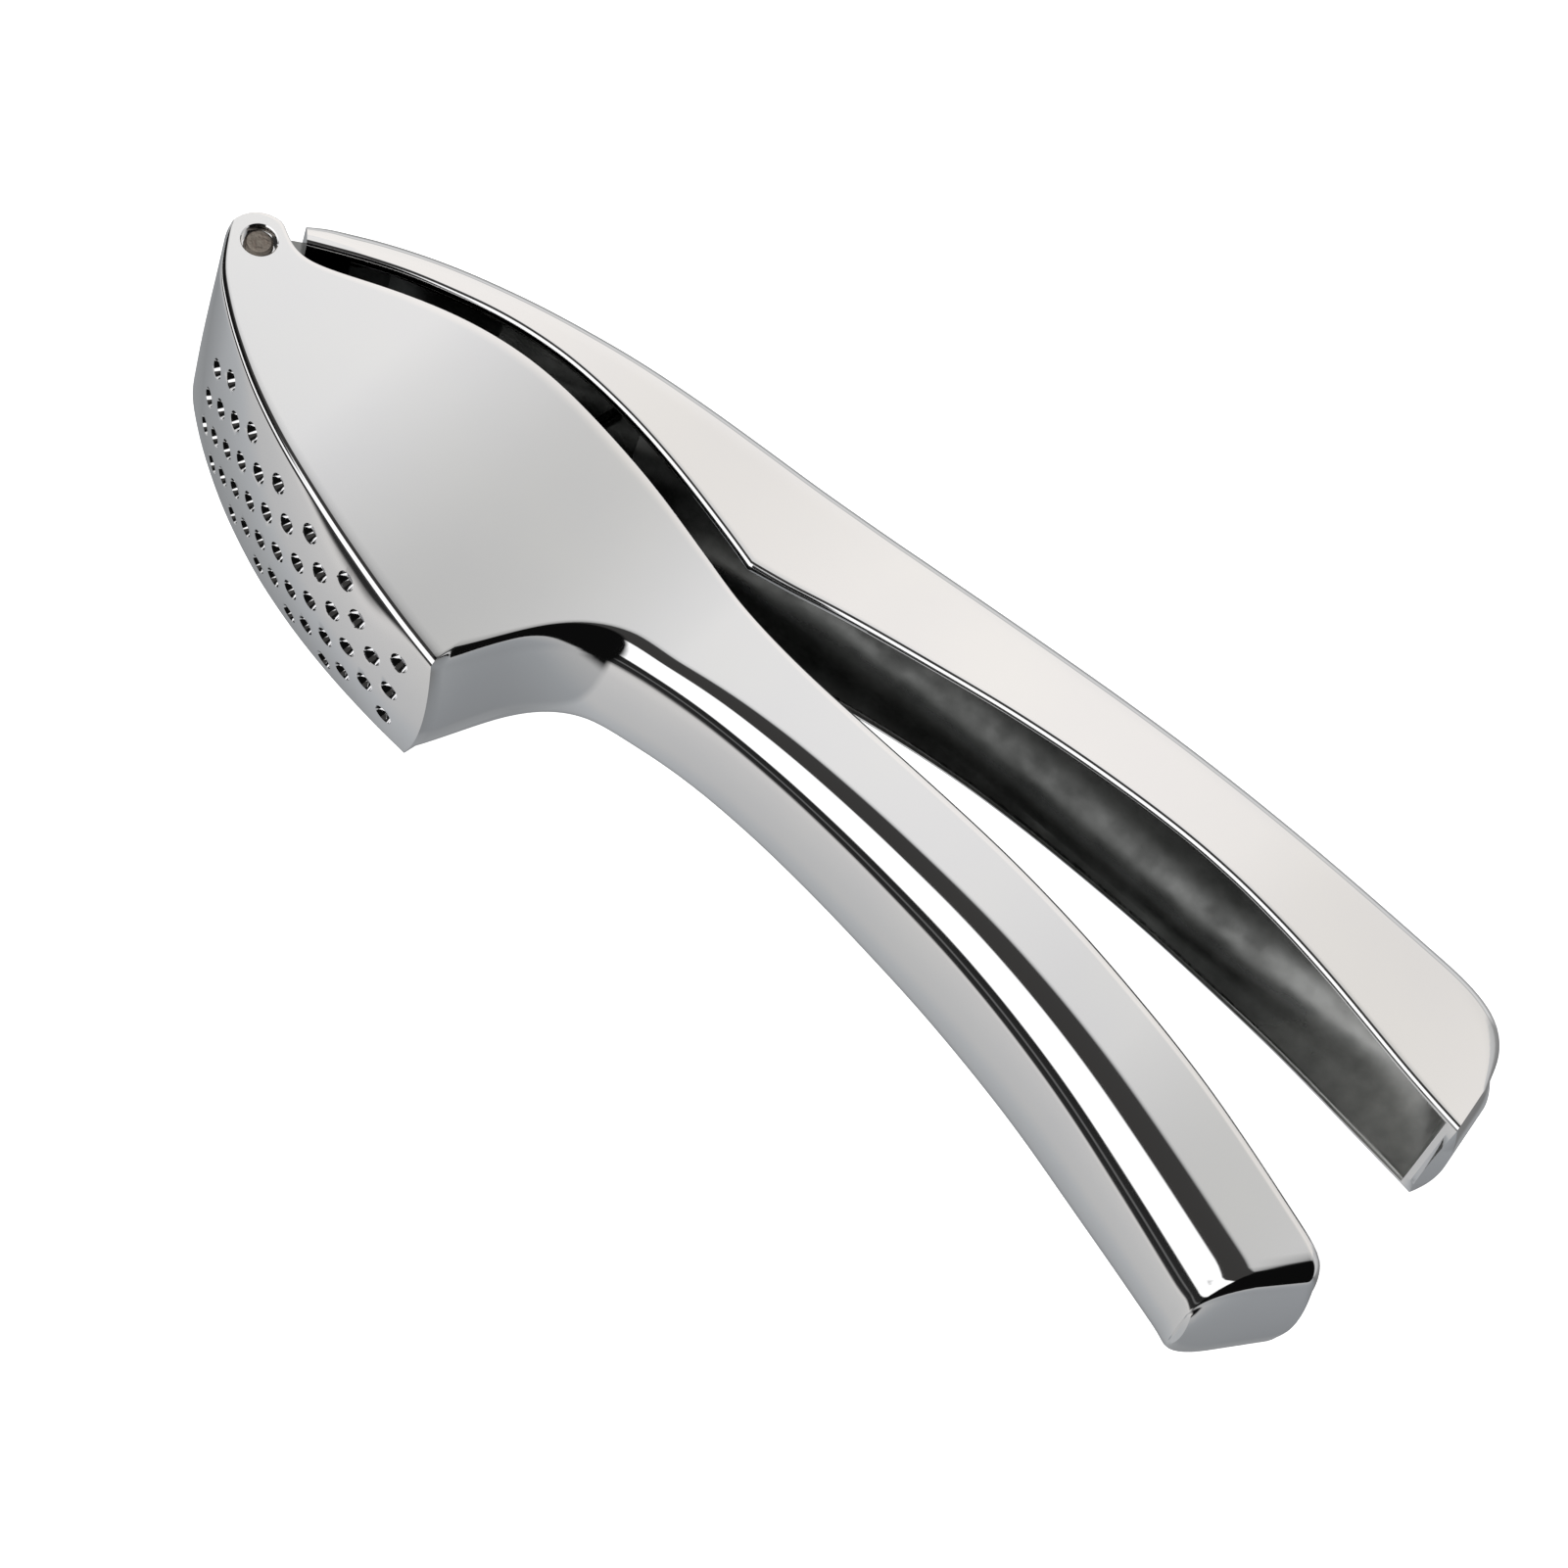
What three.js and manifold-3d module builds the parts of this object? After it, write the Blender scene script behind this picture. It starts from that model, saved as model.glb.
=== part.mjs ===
// Garlic press, lying on its side.  Millimetres, +Z up.
//
// The shapes are drawn in the plane of the handles: the hinge axis is the origin and runs along Z,
// +X runs towards the ends of the handles, +Y towards the upper lever and -Y towards the sieve.
// Every casting is symmetric about z = 0.  The finished press is then moved so that the middle of
// its base is the origin.
import * as THREE from "three";
import { mergeVertices, toCreasedNormals } from "three/addons/utils/BufferGeometryUtils.js";
import Module from "manifold-3d";

const wasm = await Module();
wasm.setup();

// Hinge
const PIN_RADIUS = 1.85;
const PIN_HALF_LENGTH = 15.0;
const PIN_SEAT_GAP = 0.03;
const PIN_RUNNING_GAP = 0.08;
const EAR_RADIUS = 4.2;
const EAR_INNER_HALF_WIDTH = 12.2;
const RECESS_RADIUS = 2.25;
const RECESS_DEPTH = 1.3;
const BARREL_RADIUS = 3.9;
const BARREL_SPACE_RADIUS = 4.3;
const LEVER_BARREL = { inner: 5.0, outer: 11.9 };
const PLUNGER_BARREL_HALF_WIDTH = 4.8;
const ROUND_SIDES = 32;

// Body casting
const HOPPER_HALF_WIDTH = 15.4;
const HOPPER_WALL = 2.2;
const SIEVE_WALL = 2.2;
const CHAMBER_RADIUS = 57.0;
const SIEVE_CROWN_DEG = 15;
const FOOT_CROWN_DEG = 20;
const HANDLE_CROWN_DEG = 9;
const CORNER_BULGE = [0.153, -0.101];
const SIEVE_EDGE_ROUND = 1.0;
const SIEVE_EDGE = [
  [-3.6, -2.2], [-0.9, -6.2], [2.3, -9.1], [7.5, -12.7], [14.3, -16.5], [22.3, -19.9],
  [30.9, -22.6], [39.1, -24.6], [47.0, -26.1], [53.4, -27.0],
];
const UNDERSIDE = [
  [53.4, -27.0], [54.9, -24.2], [56.9, -19.8], [59.2, -15.2], [62.3, -11.3], [66.6, -8.6],
  [72.5, -7.3], [80.7, -6.3], [89.7, -6.1], [99.0, -6.5], [110.0, -7.5], [124.3, -9.4],
  [139.7, -12.7], [156.1, -17.6], [171.9, -22.75],
];
const TOP_EDGE = [
  [0.4, 4.15], [2.0, 3.3], [3.2, 2.2], [4.7, 1.9], [9.0, 3.6], [15.8, 7.0], [23.0, 9.9],
  [31.0, 12.1], [38.5, 13.0], [47.3, 12.8], [56.4, 11.9], [66.2, 9.9], [74.3, 8.0], [84.0, 6.9],
  [97.0, 6.3], [110.0, 5.6], [122.3, 4.6], [136.6, 2.6], [153.2, -0.7], [164.6, -3.7],
  [175.0, -6.9], [179.9, -8.5], [181.0, -9.6], [181.2, -11.2],
];
const HANDLE_END_CROWN = 1.0;
const HANDLE_END_ROUND = { bottom: 1.2, top: 3.0 };
const HANDLE_POCKET = { from: 86, to: 168, floor: 2.8, side: 2.6, corner: 4.5 };

// Sieve holes: rows across the width on a square lattice turned by 45 degrees
const HOLE_RADIUS = 1.2;
const HOLE_SIDES = 12;
const HOLE_PITCH = 6.8;
const FIRST_ROW_FROM_CORNER = 4.0;
const ROW_SPACING = 3.79;
const ROW_COUNTS = [3, 2, 3, 4, 3, 4, 3, 4, 3, 4, 3, 4, 3];

// Lever casting
const LEVER_WALL = 1.9;
const LEVER_ROOF = 1.6;
const LEVER_TOP_ROUND = 3.5;
const LEVER_DRAFT = 0.045;
const LEVER_INNER_ROUND = 9.0;
const LEVER_LENGTH = 181.5;
const LEVER_END_WALL = 1.2;
const CHANNEL_START = 9;
const LEVER_END_CROWN = 1.5;
const RIM_OVER_HOPPER = [
  [4.4, 3.9], [7.3, 5.6], [11.6, 8.0], [16.1, 10.2], [21.0, 12.1], [26.1, 13.8], [31.5, 15.1],
  [37.3, 15.95], [43.8, 16.2], [50.7, 15.9], [58.1, 15.0], [66.3, 13.5], [71.2, 12.4],
];
const RIM_OVER_HANDLE = [
  [71.2, 12.4], [76.5, 13.8], [83.6, 15.9], [94.4, 18.3], [108.0, 20.6], [122.8, 21.9],
  [138.0, 22.2], [155.0, 20.9], [172.8, 18.2], [LEVER_LENGTH, 17.0],
];
const LEVER_TOP = [
  [2.2, 6.4], [4.6, 9.2], [8.6, 11.9], [14.2, 14.9], [20.2, 17.5], [27.8, 20.1], [35.6, 22.4],
  [43.5, 24.5], [52.6, 26.4], [61.5, 27.9], [70.4, 29.2], [79.2, 30.5], [93.8, 32.3],
  [108.6, 33.5], [123.8, 34.2], [143.8, 34.6], [162.4, 35.2], [171.0, 35.3], [176.4, 33.9],
  [179.4, 30.5], [180.4, 26.8],
];
const NECK = [
  [-1.6, 3.2], [3.2, 1.6], [4.6, 4.2], [9.5, 7.8], [13.0, 11.0], [9.5, 10.8], [4.6, 7.0], [1.5, 4.8],
];
const LUGS = { from: 26, to: 44, drop: 9, inner: 2.5, outer: 5.0 };

// Press plunger
const CLOSING_DEG = 2.5;
const PLUNGER_FACE_GAP = 0.5;
const PLUNGER_SIDE_GAP = 0.4;
const PLUNGER_RADIUS = 56.5;
const PLATE_THICKNESS = 3.2;
const SPINE_HALF_WIDTH = 2.3;
const SPINE_TOP_GAP = 0.9;

// Smooth step from 0 at a to 1 at b.
function ease(a, b, x) {
  const t = Math.min(1, Math.max(0, (x - a) / (b - a)));
  return t * t * (3 - 2 * t);
}

// The hopper narrows to a waist, and the handle swells again under the fingers.
function bodyHalfWidth(x) {
  const waist = 5.0 * ease(22, 74, x);
  const swell = 1.9 * ease(72, 135, x) - 1.2 * ease(145, 182, x);
  return HOPPER_HALF_WIDTH - waist + swell;
}

// The lever has a waist behind the hopper, swells again under the palm, and has a draft towards
// its top.
function leverHalfWidth(x, y = 0) {
  const waist = 4.7 * ease(26, 84, x);
  const swell = 2.5 * ease(88, 140, x) - 2.8 * ease(140, 184, x);
  return HOPPER_HALF_WIDTH - waist + swell - LEVER_DRAFT * Math.max(0, y - 8);
}

function spline(points, count) {
  const curve = new THREE.SplineCurve(points.map(([x, y]) => new THREE.Vector2(x, y)));
  return curve.getSpacedPoints(count);
}

function join(...runs) {
  return runs.flatMap((run, index) => (index === 0 ? run : run.slice(1)));
}

// Unit normals on the left of a run of points.
function leftNormals(points) {
  return points.map((point, i) => {
    const before = points[Math.max(0, i - 1)];
    const after = points[Math.min(points.length - 1, i + 1)];
    return new THREE.Vector2(before.y - after.y, after.x - before.x).normalize();
  });
}

function offset(points, distance) {
  const normals = leftNormals(points);
  return points.map((point, i) => point.clone().addScaledVector(normals[i], distance));
}

function turn(points, degrees) {
  const origin = new THREE.Vector2();
  return points.map((point) => point.clone().rotateAround(origin, THREE.MathUtils.degToRad(degrees)));
}

// Stations along one rib, as { along, drop }: distance from its lower end, and how far the side
// surface is below its full half-width there because of the rounded edges.  The lower rounding
// starts at an angle of lean, to run on into a crowned wall.
function ribStations(shape, start, stop, length) {
  const { lowerRound, upperRound, lean, roundCells, middleCells } = shape;
  const lower = Math.min(lowerRound(start.x), length * 0.45);
  const upper = Math.min(upperRound(stop.x), length * 0.9 - lower);
  const leaning = lean(start.x);
  const stations = [];
  for (let k = 0; k <= roundCells; k++) {
    const angle = leaning + (Math.PI / 2 - leaning) * (k / roundCells);
    const along = lower * (Math.cos(leaning) - Math.cos(angle));
    stations.push({ along, drop: lower * (1 - Math.sin(angle)) });
  }
  const begin = stations[roundCells].along;
  for (let k = 1; k <= middleCells; k++) {
    stations.push({ along: begin + (length - begin - upper) * (k / middleCells), drop: 0 });
  }
  for (let k = 1; k <= roundCells; k++) {
    const angle = (Math.PI / 2) * (k / roundCells);
    const along = length - upper * (1 - Math.sin(angle));
    stations.push({ along, drop: upper * (1 - Math.cos(angle)) });
  }
  return stations;
}

const PLAIN_SHAPE = {
  lowerRound: () => 0.01,
  upperRound: () => 0.01,
  lean: () => 0,
  crown: () => 0,
  endDrop: () => 0,
  roundCells: 1,
  middleCells: 4,
  wallRows: 1,
};

// A closed solid, symmetric about z = 0.  Straight ribs join the lower outline to the upper one,
// both drawn in the direction of +X.  The half-width is given at each point, edges can be
// rounded, and the wall round the outline can be crowned.
function ribbedSolid(given) {
  const shape = { ...PLAIN_SHAPE, ...given };
  const ribs = shape.lower.map((start, i) => {
    const stop = shape.upper[i];
    const direction = stop.clone().sub(start);
    const length = direction.length();
    direction.normalize();
    return ribStations(shape, start, stop, length).map(({ along, drop }) => {
      const { x, y } = start.clone().addScaledVector(direction, along);
      return new THREE.Vector3(x, y, shape.halfWidth(x, y) - drop - shape.endDrop(x, y));
    });
  });
  const across = ribs[0].length;
  const positions = [];
  const faces = [];
  const add = (x, y, z) => positions.push(x, y, z) / 3 - 1;
  const near = ribs.map((rib) => rib.map((p) => add(p.x, p.y, p.z)));
  const far = ribs.map((rib) => rib.map((p) => add(p.x, p.y, -p.z)));
  for (let i = 0; i + 1 < ribs.length; i++) {
    for (let j = 0; j + 1 < across; j++) {
      faces.push(near[i][j], near[i + 1][j], near[i + 1][j + 1]);
      faces.push(near[i][j], near[i + 1][j + 1], near[i][j + 1]);
      faces.push(far[i][j], far[i + 1][j + 1], far[i + 1][j]);
      faces.push(far[i][j], far[i][j + 1], far[i + 1][j + 1]);
    }
  }
  addWall({ ribs, near, far, faces, add, crown: shape.crown, rows: shape.wallRows });
  const geometry = new THREE.BufferGeometry();
  geometry.setAttribute("position", new THREE.Float32BufferAttribute(positions, 3));
  geometry.setIndex(faces);
  return toManifold(geometry);
}

// The wall between the two side surfaces, clockwise round the outline seen from +Z.  The crown is
// a distance along the wall's normal, or a displacement of its own.
function addWall({ ribs, near, far, faces, add, crown, rows }) {
  const last = ribs.length - 1;
  const top = ribs[0].length - 1;
  const loop = [];
  for (let j = 0; j < top; j++) loop.push([0, j]);
  for (let i = 0; i < last; i++) loop.push([i, top]);
  for (let j = top; j > 0; j--) loop.push([last, j]);
  for (let i = last; i > 0; i--) loop.push([i, 0]);
  const columns = loop.map(([i, j], k) => {
    const [beforeI, beforeJ] = loop[(k + loop.length - 1) % loop.length];
    const [afterI, afterJ] = loop[(k + 1) % loop.length];
    const before = ribs[beforeI][beforeJ];
    const after = ribs[afterI][afterJ];
    const here = ribs[i][j];
    const outward = new THREE.Vector2(before.y - after.y, after.x - before.x).normalize();
    const height = crown(i, j, last, top, here.z);
    const bulge = typeof height === "number" ? outward.multiplyScalar(height) : height;
    const column = [near[i][j]];
    for (let row = 1; row < rows; row++) {
      const level = 1 - (2 * row) / rows;
      const share = 1 - level * level;
      column.push(add(here.x + bulge.x * share, here.y + bulge.y * share, here.z * level));
    }
    column.push(far[i][j]);
    return column;
  });
  columns.forEach((column, k) => {
    const next = columns[(k + 1) % columns.length];
    for (let row = 0; row + 1 < column.length; row++) {
      faces.push(column[row], next[row], next[row + 1]);
      faces.push(column[row], next[row + 1], column[row + 1]);
    }
  });
}

function toManifold(geometry) {
  geometry.deleteAttribute("normal");
  geometry.deleteAttribute("uv");
  const merged = mergeVertices(geometry, 1e-5);
  const mesh = new wasm.Mesh({
    numProp: 3,
    vertProperties: new Float32Array(merged.attributes.position.array),
    triVerts: new Uint32Array(merged.index.array),
  });
  return new wasm.Manifold(mesh);
}

function toMesh(solid, name, material) {
  const { vertProperties, triVerts } = solid.getMesh();
  const geometry = new THREE.BufferGeometry();
  geometry.setAttribute("position", new THREE.Float32BufferAttribute(vertProperties, 3));
  geometry.setIndex(Array.from(triVerts));
  const mesh = new THREE.Mesh(toCreasedNormals(geometry, THREE.MathUtils.degToRad(35)), material);
  mesh.name = name;
  return mesh;
}

// A cylinder about the hinge axis between two heights.
function axial(radius, fromZ, toZ, sides = ROUND_SIDES) {
  return wasm.Manifold.cylinder(toZ - fromZ, radius, radius, sides).translate([0, 0, fromZ]);
}

// A flat shape in the plane of the handles, drawn anticlockwise, with a thickness.
function slab(points, fromZ, toZ) {
  return wasm.Manifold.extrude([points], toZ - fromZ).translate([0, 0, fromZ]);
}

function mirrored(solid) {
  return solid.add(solid.mirror([0, 0, 1]));
}

const SIEVE_CELLS = 28;
const HANDLE_CELLS = 44;
const TOP_CELLS = 900;
const sieveCurve = spline(SIEVE_EDGE, SIEVE_CELLS);
const undersideCurve = spline(UNDERSIDE, HANDLE_CELLS);
const topCurve = spline(TOP_EDGE, TOP_CELLS);

// Pairs of x on the lower and the upper edge of the body that are joined by a rib.
const RIB_MARKS = [
  [-3.6, 0.4], [-0.9, 3.4], [7.5, 7.0], [30.9, 31.0], [53.4, 52.0], [62.3, 68.0], [89.7, 91.0],
  [171.9, 181.2],
];

// Upper end of the rib that starts at a given x on the lower edge.
function ribTop(x) {
  const after = Math.max(1, RIB_MARKS.findIndex(([lowerX]) => lowerX >= x));
  const [x0, top0] = RIB_MARKS[after - 1];
  const [x1, top1] = RIB_MARKS[after];
  const wanted = top0 + ((top1 - top0) * (x - x0)) / (x1 - x0);
  return topCurve.find((point) => point.x >= wanted) ?? topCurve[TOP_CELLS];
}

// Radius of the lower edge: small along the sieve, large round the foot of the hopper, and
// growing slowly along the handle.
function undersideRound(x) {
  if (x < 53.45) return SIEVE_EDGE_ROUND;
  const foot = 1.4 * (1 - ease(60, 74, x));
  return 1.7 + 0.122 * Math.min(x - 53.5, 13.1) + 0.0405 * Math.max(0, x - 66.6) + foot;
}

// Slope of the crowned wall at its edges: steepest at the foot of the hopper.
function crownAngle(x) {
  const { lerp, degToRad } = THREE.MathUtils;
  const share = ease(8, 36, x) * (1 - ease(40, 53.4, x));
  if (x < 53.45) return degToRad(lerp(HANDLE_CROWN_DEG, SIEVE_CROWN_DEG, share));
  return degToRad(lerp(FOOT_CROWN_DEG, HANDLE_CROWN_DEG, ease(53.5, 68, x)));
}

// The side surfaces round over into the end face of the lower handle.
function handleEndDrop(x, y) {
  const low = new THREE.Vector2(...UNDERSIDE.at(-1));
  const along = new THREE.Vector2(...TOP_EDGE.at(-1)).add(new THREE.Vector2(0.25, 0.4)).sub(low);
  const length = along.length();
  along.normalize();
  const point = new THREE.Vector2(x, y).sub(low);
  const share = THREE.MathUtils.clamp(point.dot(along) / length, 0, 1);
  const radius = THREE.MathUtils.lerp(HANDLE_END_ROUND.bottom, HANDLE_END_ROUND.top, share);
  const depth = along.x * point.y - along.y * point.x;
  const inside = Math.max(0, 1 - depth / radius);
  return x < 160 ? 0 : radius * (1 - Math.sqrt(Math.max(0, 1 - inside * inside)));
}

// The last cells of the handle are divided more finely, to hold its rounded end.
function handleRibStarts() {
  const end = undersideCurve[HANDLE_CELLS];
  const before = undersideCurve[HANDLE_CELLS - 1];
  const closing = [0.6, 0.35, 0.18, 0.06].map((share) => end.clone().lerp(before, share));
  return [...undersideCurve.slice(0, HANDLE_CELLS), ...closing, end];
}

function bodyShell() {
  const lower = join(sieveCurve, handleRibStarts());
  return ribbedSolid({
    lower,
    upper: lower.map(({ x }) => ribTop(x)),
    halfWidth: bodyHalfWidth,
    lowerRound: undersideRound,
    upperRound: (x) => 0.4 + 0.8 * ease(66, 100, x),
    lean: crownAngle,
    endDrop: handleEndDrop,
    roundCells: 3,
    middleCells: 4,
    wallRows: 8,
    crown: (i, j, last, top, half) => {
      if (i === last) return j > 0 && j < top ? HANDLE_END_CROWN : 0;
      if (j > 0) return 0;
      if (i === SIEVE_CELLS) return new THREE.Vector2(...CORNER_BULGE).multiplyScalar(half);
      return half * Math.tan(crownAngle(lower[i].x) / 2) * ease(0.03, 0.25, i / SIEVE_CELLS);
    },
  });
}

// The space inside the hopper: parallel to the sieve, and ending in an arc about the hinge.
function chamber(wall, sideWall, radius) {
  const floor = offset(spline([...SIEVE_EDGE.slice(1), [60.0, -28.0]], 28), wall);
  const ceiling = floor.map((_, i) => {
    const share = i / 28;
    return new THREE.Vector2(6 + 62 * share, 7 + 12 * Math.sin(Math.PI * share));
  });
  const space = ribbedSolid({
    lower: floor,
    upper: ceiling,
    halfWidth: (x) => bodyHalfWidth(x) - sideWall,
    middleCells: 8,
  });
  return space.intersect(axial(radius, -20, 20, 96));
}

function handlePocket() {
  const { from, to, floor, side, corner } = HANDLE_POCKET;
  const bottom = undersideCurve.filter(({ x }) => x > from && x < to);
  const lower = offset(bottom, floor);
  return ribbedSolid({
    lower,
    upper: lower.map(({ x, y }) => new THREE.Vector2(x + 5, y + 20)),
    halfWidth: (x) => bodyHalfWidth(x) - side,
    lowerRound: () => corner,
    roundCells: 3,
    middleCells: 1,
  });
}

// Centre of each row of holes on the sieve, with the direction out through the sieve.
function sieveRows() {
  const fine = spline(SIEVE_EDGE, 600);
  const normals = leftNormals(fine);
  const total = fine.reduce((sum, p, i) => (i === 0 ? 0 : sum + p.distanceTo(fine[i - 1])), 0);
  return ROW_COUNTS.map((count, row) => {
    const distance = total - FIRST_ROW_FROM_CORNER - row * ROW_SPACING;
    const index = Math.round((distance / total) * 600);
    return { count, centre: fine[index], outward: normals[index].clone().negate() };
  });
}

function sieveHoles() {
  const drills = sieveRows().flatMap(({ count, centre, outward }) => {
    const bearing = THREE.MathUtils.radToDeg(Math.atan2(outward.y, outward.x));
    return Array.from({ length: count }, (_, k) => {
      const z = (k - (count - 1) / 2) * HOLE_PITCH;
      const drill = wasm.Manifold.cylinder(8, HOLE_RADIUS, HOLE_RADIUS, HOLE_SIDES);
      const aimed = drill.translate([0, 0, -5]).rotate([0, 90, 0]).rotate([0, 0, bearing]);
      return aimed.translate([centre.x, centre.y, z]);
    });
  });
  return wasm.Manifold.union(drills);
}

function bodyCasting() {
  const seat = axial(PIN_RADIUS + PIN_SEAT_GAP, -20, 20);
  const recess = mirrored(axial(RECESS_RADIUS, HOPPER_HALF_WIDTH - RECESS_DEPTH, 20));
  const barrelSpace = axial(BARREL_SPACE_RADIUS, -EAR_INNER_HALF_WIDTH, EAR_INNER_HALF_WIDTH);
  const neckOutline = [[-8, -2], [4, -2], [12, 3], [12, 12], [-8, 12]];
  const neckSpace = slab(neckOutline, -EAR_INNER_HALF_WIDTH, EAR_INNER_HALF_WIDTH);
  return bodyShell()
    .add(axial(EAR_RADIUS, -HOPPER_HALF_WIDTH, HOPPER_HALF_WIDTH))
    .subtract(chamber(SIEVE_WALL, HOPPER_WALL, CHAMBER_RADIUS))
    .subtract(handlePocket())
    .subtract(barrelSpace)
    .subtract(neckSpace)
    .subtract(seat)
    .subtract(recess)
    .subtract(sieveHoles());
}

function leverOuter() {
  const rim = join(spline(RIM_OVER_HOPPER, 24), spline(RIM_OVER_HANDLE, 30));
  const top = spline(LEVER_TOP, 54);
  return ribbedSolid({
    lower: rim,
    upper: top,
    halfWidth: leverHalfWidth,
    upperRound: (x) => LEVER_TOP_ROUND * ease(0, 10, x + 3),
    roundCells: 4,
    middleCells: 3,
    wallRows: 6,
    crown: (i, j, last, top) => (i === last && j < top ? LEVER_END_CROWN : 0),
  });
}

// The channel under the lever, open towards the lower handle.
function leverChannel() {
  const cells = 48;
  const roof = leverRoof().filter(({ x }) => x > CHANNEL_START);
  const upper = Array.from({ length: cells + 1 }, (_, k) => {
    return roof[Math.round((k / cells) * (roof.length - 1))];
  });
  const end = LEVER_LENGTH - LEVER_END_WALL;
  const lower = upper.map((_, k) => {
    const x = CHANNEL_START + 1.5 + (end - CHANNEL_START - 1.5) * (k / cells);
    return new THREE.Vector2(x, channelMouth(x) - 3);
  });
  return ribbedSolid({
    lower,
    upper,
    halfWidth: (x) => leverHalfWidth(x) - LEVER_WALL,
    upperRound: (x) => LEVER_INNER_ROUND * ease(5, 30, x),
    roundCells: 4,
    middleCells: 3,
  });
}

function leverRoof() {
  return offset(spline(LEVER_TOP, 300), -LEVER_ROOF);
}

function channelMouth(x) {
  const rim = [...RIM_OVER_HOPPER, ...RIM_OVER_HANDLE];
  const after = rim.findIndex(([rimX]) => rimX >= x);
  if (after <= 0) return rim[after === 0 ? 0 : rim.length - 1][1];
  const [x0, y0] = rim[after - 1];
  const [x1, y1] = rim[after];
  return y0 + ((y1 - y0) * (x - x0)) / (x1 - x0 || 1);
}

// Height of the channel's roof above the hinge axis at a given x.
function roofHeight(x) {
  return leverRoof().find((p) => p.x >= x).y;
}

function leverLugs() {
  const { from, to, drop, inner, outer } = LUGS;
  const outline = [
    [from, roofHeight(from) + 1], [from + 3, roofHeight(from + 3) - drop],
    [to - 2, roofHeight(to - 2) - drop], [to, roofHeight(to) + 1],
  ];
  return mirrored(slab(outline, inner, outer));
}

function leverCasting() {
  const { inner, outer } = LEVER_BARREL;
  const barrels = mirrored(axial(BARREL_RADIUS, inner, outer));
  const necks = mirrored(slab(NECK, inner, outer));
  const bore = axial(PIN_RADIUS + PIN_RUNNING_GAP, -20, 20);
  const hollow = leverOuter().subtract(leverChannel());
  return hollow.add(barrels).add(necks).add(leverLugs()).subtract(bore);
}

// The face stands off the sieve by the travel that's left when the handles are squeezed shut.
// The plate is as wide as the narrowest part of the hopper that it swings through.
function pressPlunger() {
  const floor = spline([...SIEVE_EDGE.slice(2), [60.0, -28.0]], 28);
  const face = turn(offset(floor, SIEVE_WALL + PLUNGER_FACE_GAP), CLOSING_DEG);
  const plate = ribbedSolid({
    lower: face,
    upper: offset(face, PLATE_THICKNESS),
    halfWidth: (x, y) => bodyHalfWidth(Math.hypot(x, y)) - HOPPER_WALL - PLUNGER_SIDE_GAP,
    middleCells: 1,
  }).intersect(axial(PLUNGER_RADIUS, -20, 20, 96));
  const backEdge = [47, 42, 36, 31, 26, 21, 17].map((x) => [x, roofHeight(x) - SPINE_TOP_GAP]);
  const plateTop = offset(face, PLATE_THICKNESS - 1);
  const lowEdge = plateTop.filter(({ x, y }) => Math.hypot(x, y) < PLUNGER_RADIUS - 3);
  const spineOutline = [
    ...lowEdge.map(({ x, y }) => [x, y]), [53, 2], [50, 16], ...backEdge, [14.5, 6.5], [5, 1], [3.5, -1],
  ];
  const spine = slab(spineOutline, -SPINE_HALF_WIDTH, SPINE_HALF_WIDTH);
  const barrel = axial(BARREL_RADIUS, -PLUNGER_BARREL_HALF_WIDTH, PLUNGER_BARREL_HALF_WIDTH);
  const bore = axial(PIN_RADIUS + PIN_RUNNING_GAP, -20, 20);
  return plate.add(spine).add(barrel).subtract(bore);
}

function hingePin() {
  const chamfer = 0.3;
  const half = PIN_HALF_LENGTH;
  const shank = axial(PIN_RADIUS, -half + chamfer, half - chamfer);
  const tip = wasm.Manifold.cylinder(chamfer, PIN_RADIUS, PIN_RADIUS - chamfer, ROUND_SIDES);
  return shank.add(mirrored(tip.translate([0, 0, half - chamfer])));
}

function metal(name, color, roughness) {
  return new THREE.MeshStandardMaterial({ name, color, metalness: 1, roughness });
}

const chrome = metal("chrome", 0xd8d8da, 0.15);
const steel = metal("steel", 0x8f8a82, 0.5);

const press = new THREE.Group();
press.name = "garlic_press";
press.add(toMesh(bodyCasting(), "body_casting", chrome));
press.add(toMesh(leverCasting(), "lever_casting", chrome));
press.add(toMesh(pressPlunger(), "press_plunger", chrome));
press.add(toMesh(hingePin(), "hinge_pin", steel));

// Put the middle of the base at the origin.
const box = new THREE.Box3().setFromObject(press);
const middle = box.getCenter(new THREE.Vector3());
press.children.forEach((mesh) => mesh.geometry.translate(-middle.x, -middle.y, -box.min.z));

export default press;
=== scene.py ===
"""Garlic press: fine surfaces, chrome and studio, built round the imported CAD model.

Shapes are drawn in millimetres in the plane of the handles, with the hinge axis as the origin,
+x towards the ends of the handles and +y towards the lever, and are symmetric about z = 0.
"""
import math

import bpy
import numpy as np
from mathutils import Matrix, Vector


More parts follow.
